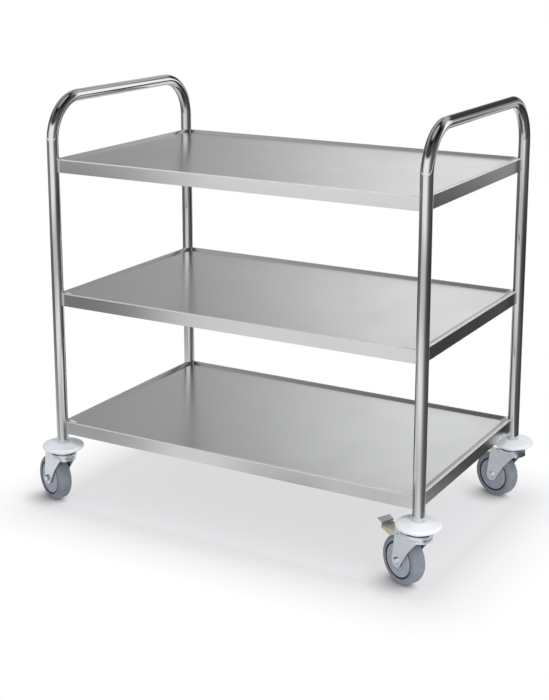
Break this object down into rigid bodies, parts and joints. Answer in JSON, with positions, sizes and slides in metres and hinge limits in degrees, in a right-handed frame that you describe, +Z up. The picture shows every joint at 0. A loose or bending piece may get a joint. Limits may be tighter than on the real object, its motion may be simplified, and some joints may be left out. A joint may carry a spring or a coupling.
{
  "type": "serving trolley",
  "caption": "Serving trolley with raised-rim sheet shelves between bent tube ends that form the handles, on swivel castors with round wall bumpers.",
  "frame": {"origin": "on the floor, under the middle of the four tube legs", "axes": "+X along the shelves to the right-hand end, +Y to the back, +Z up"},
  "size_m": [0.997, 0.6079, 0.909],
  "materials": {
    "polished_stainless_tube": "mirror polished stainless tube",
    "satin_stainless_sheet": "satin stainless sheet",
    "zinc_plated_steel": "bright zinc plate",
    "yellow_zinc_steel": "yellow passivated zinc plate",
    "bearing_steel": "ground bearing steel",
    "white_bumper_rubber": "smooth moulded white rubber",
    "grey_tyre_rubber": "grey non-marking rubber",
    "grey_nylon": "moulded grey nylon",
    "dark_polypropylene": "moulded dark polypropylene"
  },
  "bodies": {
    "frame": {"left_frame_tube": "polished_stainless_tube", "right_frame_tube": "polished_stainless_tube", "top_shelf": "satin_stainless_sheet", "middle_shelf": "satin_stainless_sheet", "bottom_shelf": "satin_stainless_sheet", "shelf_corner_brackets": "satin_stainless_sheet", "shelf_bolts": "zinc_plated_steel", "shelf_bolt_washers": "zinc_plated_steel", "rivet_nuts": "zinc_plated_steel", "front_left_bumper": "white_bumper_rubber", "front_right_bumper": "white_bumper_rubber", "back_left_bumper": "white_bumper_rubber", "back_right_bumper": "white_bumper_rubber", "stem_expanders": "dark_polypropylene", "castor_stems": "zinc_plated_steel", "upper_raceways": "zinc_plated_steel", "lower_raceways": "zinc_plated_steel"},
    "front_left_swivel": {"front_left_fork": "zinc_plated_steel", "front_left_bearing_balls": "bearing_steel", "front_left_axle_sleeve": "bearing_steel", "front_left_axle_bolt": "zinc_plated_steel", "front_left_axle_nut": "zinc_plated_steel"},
    "front_left_wheel": {"front_left_wheel_centre": "dark_polypropylene", "front_left_tyre": "grey_tyre_rubber", "front_left_thread_guards": "grey_nylon"},
    "front_right_swivel": {"front_right_fork": "zinc_plated_steel", "front_right_bearing_balls": "bearing_steel", "front_right_axle_sleeve": "bearing_steel", "front_right_axle_bolt": "zinc_plated_steel", "front_right_axle_nut": "zinc_plated_steel", "front_right_brake_pivot_pin": "zinc_plated_steel"},
    "front_right_wheel": {"front_right_wheel_centre": "dark_polypropylene", "front_right_tyre": "grey_tyre_rubber", "front_right_thread_guards": "grey_nylon"},
    "front_right_brake": {"front_right_brake_lever": "yellow_zinc_steel", "front_right_brake_foot_pad": "zinc_plated_steel", "front_right_brake_shoe": "yellow_zinc_steel"},
    "back_left_swivel": {"back_left_fork": "zinc_plated_steel", "back_left_bearing_balls": "bearing_steel", "back_left_axle_sleeve": "bearing_steel", "back_left_axle_bolt": "zinc_plated_steel", "back_left_axle_nut": "zinc_plated_steel", "back_left_brake_pivot_pin": "zinc_plated_steel"},
    "back_left_wheel": {"back_left_wheel_centre": "dark_polypropylene", "back_left_tyre": "grey_tyre_rubber", "back_left_thread_guards": "grey_nylon"},
    "back_left_brake": {"back_left_brake_lever": "yellow_zinc_steel", "back_left_brake_foot_pad": "zinc_plated_steel", "back_left_brake_shoe": "yellow_zinc_steel"},
    "back_right_swivel": {"back_right_fork": "zinc_plated_steel", "back_right_bearing_balls": "bearing_steel", "back_right_axle_sleeve": "bearing_steel", "back_right_axle_bolt": "zinc_plated_steel", "back_right_axle_nut": "zinc_plated_steel"},
    "back_right_wheel": {"back_right_wheel_centre": "dark_polypropylene", "back_right_tyre": "grey_tyre_rubber", "back_right_thread_guards": "grey_nylon"}
  },
  "joints": [
    {"name": "front_left_swivel_turn", "type": "hinge", "parent": "frame", "child": "front_left_swivel", "pos_m": [-0.425, -0.255, 0.118], "axis": [0, 0, 1], "continuous": true},
    {"name": "front_left_wheel_spin", "type": "hinge", "parent": "front_left_swivel", "child": "front_left_wheel", "pos_m": [-0.46182, -0.23937, 0.05], "axis": [-0.3907, -0.9205, 0], "continuous": true},
    {"name": "front_right_swivel_turn", "type": "hinge", "parent": "frame", "child": "front_right_swivel", "pos_m": [0.425, -0.255, 0.118], "axis": [0, 0, 1], "continuous": true},
    {"name": "front_right_wheel_spin", "type": "hinge", "parent": "front_right_swivel", "child": "front_right_wheel", "pos_m": [0.38875, -0.2381, 0.05], "axis": [-0.4226, -0.9063, 0], "continuous": true},
    {"name": "front_right_brake_tip", "type": "hinge", "parent": "front_right_swivel", "child": "front_right_brake", "pos_m": [0.39147, -0.23936, 0.1045], "axis": [-0.4226, -0.9063, 0], "range_deg": [0, 12]},
    {"name": "back_left_swivel_turn", "type": "hinge", "parent": "frame", "child": "back_left_swivel", "pos_m": [-0.425, 0.255, 0.118], "axis": [0, 0, 1], "continuous": true},
    {"name": "back_left_wheel_spin", "type": "hinge", "parent": "back_left_swivel", "child": "back_left_wheel", "pos_m": [-0.46209, 0.26998, 0.05], "axis": [-0.3746, -0.9272, 0], "continuous": true},
    {"name": "back_left_brake_tip", "type": "hinge", "parent": "back_left_swivel", "child": "back_left_brake", "pos_m": [-0.45931, 0.26886, 0.1045], "axis": [-0.3746, -0.9272, 0], "range_deg": [0, 12]},
    {"name": "back_right_swivel_turn", "type": "hinge", "parent": "frame", "child": "back_right_swivel", "pos_m": [0.425, 0.255, 0.118], "axis": [0, 0, 1], "continuous": true},
    {"name": "back_right_wheel_spin", "type": "hinge", "parent": "back_right_swivel", "child": "back_right_wheel", "pos_m": [0.38696, 0.26736, 0.05], "axis": [-0.309, -0.9511, 0], "continuous": true}
  ]
}
